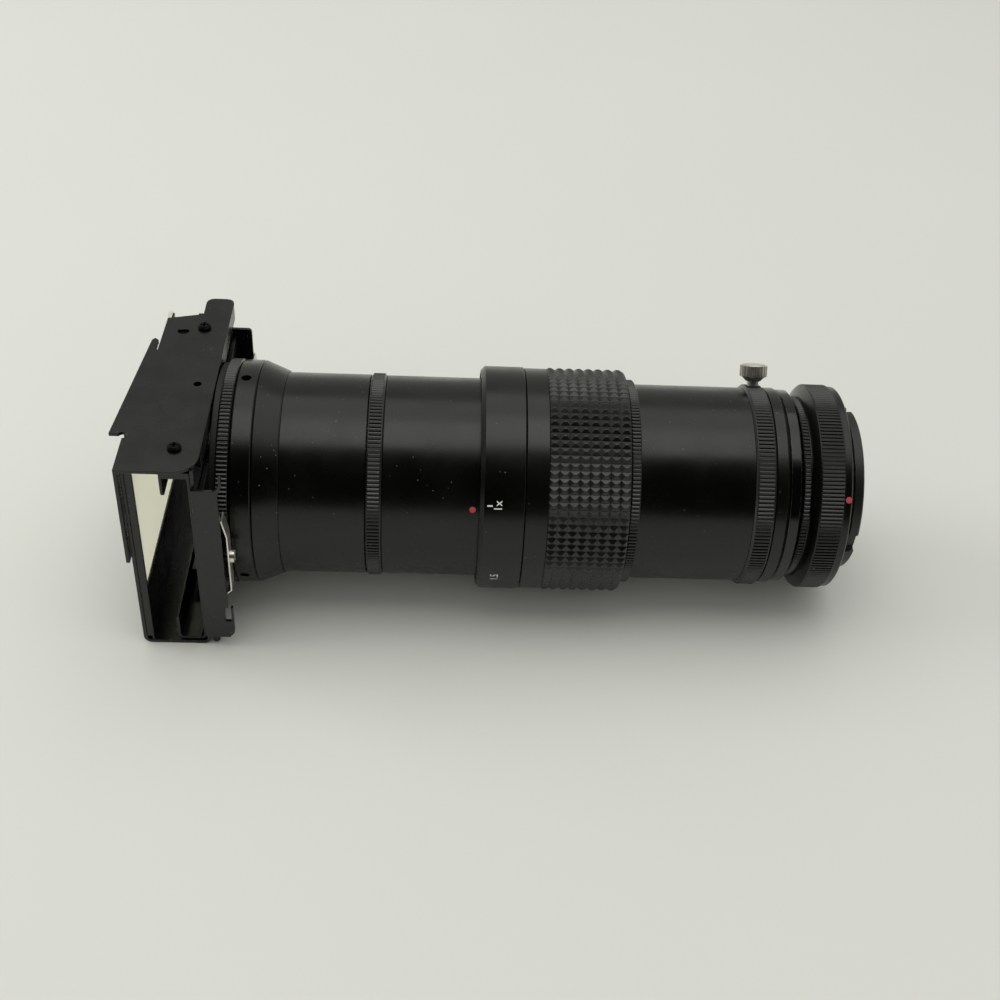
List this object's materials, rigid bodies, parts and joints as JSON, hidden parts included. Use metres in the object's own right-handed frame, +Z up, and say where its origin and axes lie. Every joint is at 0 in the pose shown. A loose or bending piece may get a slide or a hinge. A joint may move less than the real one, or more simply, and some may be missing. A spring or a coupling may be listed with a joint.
{
  "type": "zoom slide duplicator",
  "caption": "Zoom slide duplicator for 35 mm mounted slides: sheet-steel slide stage with opal diffuser, turning zoom barrel with cam-driven lens groups, and a bayonet camera adapter.",
  "frame": {"origin": "On the optical axis at the seat that meets the camera's mount.", "axes": "+X along the optical axis towards the camera, +Z up as the duplicator lies on a table, +Y away from the viewer of the picture."},
  "size_m": [0.2189, 0.0875, 0.0697],
  "materials": {
    "satin_black_metal": "anodised black, satin",
    "matt_black_metal": "anodised black, matt",
    "gloss_black_metal": "gloss black enamel on brass",
    "black_sheet_steel": "semi-gloss black paint on folded sheet",
    "dark_steel": "blackened steel",
    "nickel_plate": "bright nickel plate",
    "plain_aluminium": "turned, plain",
    "brass_pins": "turned brass",
    "grip_rubber": "moulded ribbed rubber",
    "red_enamel": "red enamel fill",
    "optical_glass": "coated optical glass",
    "opal_acrylic": "opal acrylic sheet"
  },
  "bodies": {
    "barrel": {"main_barrel": "satin_black_metal", "rear_tube": "satin_black_metal", "lock_collar": "satin_black_metal", "retaining_ring": "satin_black_metal", "guide_tube": "matt_black_metal", "barrel_index_dot": "red_enamel", "stage_tube": "satin_black_metal", "stage_collar": "satin_black_metal", "tapered_ring": "satin_black_metal", "stage_collar_screws": "dark_steel"},
    "camera_end": {"end_band": "satin_black_metal", "rear_mount_tube": "satin_black_metal", "thread_collar": "gloss_black_metal", "adapter_insert": "satin_black_metal", "adapter_body": "satin_black_metal", "bayonet_ring": "gloss_black_metal", "adapter_set_screws": "dark_steel", "mount_index_dot": "red_enamel"},
    "thumb_screw_body": {"thumb_screw": "nickel_plate"},
    "zoom_ring": {"zoom_scale_ring": "satin_black_metal", "zoom_sleeve": "satin_black_metal", "zoom_grip": "grip_rubber", "cam_tube": "plain_aluminium", "zoom_drive_pins": "dark_steel"},
    "main_group": {"main_lens_cell": "matt_black_metal", "main_front_glass": "optical_glass", "main_rear_glass": "optical_glass", "main_lens_retainers": "matt_black_metal", "main_cam_pins": "brass_pins"},
    "front_group": {"front_lens_cell": "matt_black_metal", "front_glass": "optical_glass", "front_lens_retainer": "matt_black_metal", "front_cam_pins": "brass_pins"},
    "coupling": {"coupling_ring": "satin_black_metal"},
    "stage_lock": {"stage_lock_ring": "satin_black_metal"},
    "stage_mount": {"stage_hub": "matt_black_metal", "stage_base_plate": "black_sheet_steel", "base_plate_screws": "dark_steel", "spring_posts": "dark_steel", "leaf_springs": "nickel_plate", "leaf_spring_screws": "nickel_plate"},
    "housing": {"stage_housing": "black_sheet_steel", "stage_cover": "black_sheet_steel", "cover_screws": "dark_steel", "opal_diffuser": "opal_acrylic", "diffuser_frame": "black_sheet_steel"},
    "carriage": {"slide_carriage": "black_sheet_steel", "slide_springs": "nickel_plate"}
  },
  "joints": [
    {"name": "camera_end_turn", "type": "hinge", "parent": "barrel", "child": "camera_end", "pos_m": [0, 0, 0], "axis": [1, 0, 0], "continuous": true},
    {"name": "thumb_screw_turn", "type": "hinge", "parent": "barrel", "child": "thumb_screw_body", "pos_m": [-0.0253, 0.0155, 0.0291], "axis": [0, 0.4695, 0.8829], "range_deg": [0, 720]},
    {"name": "zoom_turn", "type": "hinge", "parent": "barrel", "child": "zoom_ring", "pos_m": [-0.09, 0, 0], "axis": [-1, 0, 0], "range_deg": [0, 120]},
    {"name": "main_group_slide", "type": "slide", "parent": "barrel", "child": "main_group", "axis": [-1, 0, 0], "range_m": [0, 0.024]},
    {"name": "front_group_slide", "type": "slide", "parent": "barrel", "child": "front_group", "axis": [-1, 0, 0], "range_m": [0, 0.016]},
    {"name": "coupling_turn", "type": "hinge", "parent": "barrel", "child": "coupling", "pos_m": [-0.14, 0, 0], "axis": [1, 0, 0], "range_deg": [0, 60]},
    {"name": "stage_lock_turn", "type": "hinge", "parent": "stage_mount", "child": "stage_lock", "pos_m": [-0.1832, 0, 0], "axis": [1, 0, 0], "range_deg": [0, 45]},
    {"name": "stage_turn", "type": "hinge", "parent": "barrel", "child": "stage_mount", "pos_m": [-0.1832, 0, 0], "axis": [1, 0, 0], "range_deg": [-90, 90]},
    {"name": "housing_shift", "type": "slide", "parent": "stage_mount", "child": "housing", "axis": [0, 0, 1], "range_m": [-0.005, 0.005]},
    {"name": "carriage_shift", "type": "slide", "parent": "housing", "child": "carriage", "axis": [0, 1, 0], "range_m": [-0.008, 0.008]}
  ],
  "couplings": [
    {"joint": "main_group_slide", "follows": "zoom_turn", "m_per_rad": 0.011459},
    {"joint": "front_group_slide", "follows": "zoom_turn", "m_per_rad": 0.007639}
  ]
}
